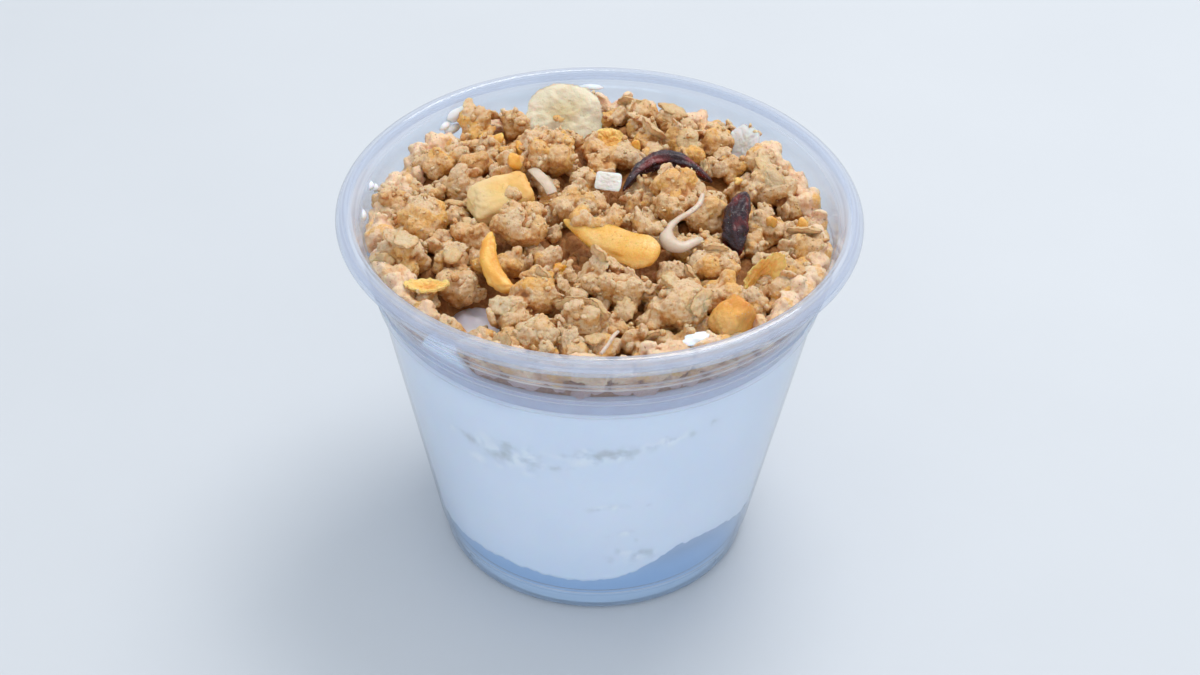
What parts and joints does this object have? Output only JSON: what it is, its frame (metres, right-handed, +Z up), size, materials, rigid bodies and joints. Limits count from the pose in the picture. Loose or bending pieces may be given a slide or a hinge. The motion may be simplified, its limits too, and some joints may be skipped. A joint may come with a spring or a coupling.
{
  "type": "cup of yogurt with granola",
  "caption": "Squat clear plastic cup with a rolled lip, filled with white yogurt and heaped with granola clusters, dried fruit, flakes and coconut.",
  "frame": {"origin": "centre of the cup's foot, on the surface that it stands on", "axes": "+Z up through the cup's axis, -Y towards the viewer, +X to the viewer's right"},
  "size_m": [0.095, 0.095, 0.0744],
  "materials": {
    "cup_plastic": "gloss",
    "yogurt": "satin",
    "granola": "matte",
    "banana": "satin",
    "pineapple": "satin",
    "mango": "satin",
    "apple": "satin",
    "cranberry": "gloss",
    "papaya": "satin",
    "corn_flake": "matte",
    "coconut": "matte"
  },
  "bodies": {
    "root": {"cup": "cup_plastic", "yogurt": "yogurt", "granola": "granola", "banana_chip": "banana", "pale_chip": "banana", "pineapple_chunk": "pineapple", "mango_strip": "mango", "apple_slice": "apple", "cranberry_back": "cranberry", "cranberry_side": "cranberry", "papaya_chunk": "papaya", "corn_flake_left": "corn_flake", "corn_flake_right": "corn_flake", "corn_flake_back": "corn_flake", "coconut_chip": "coconut", "coconut_shred": "coconut"}
  },
  "joints": []
}
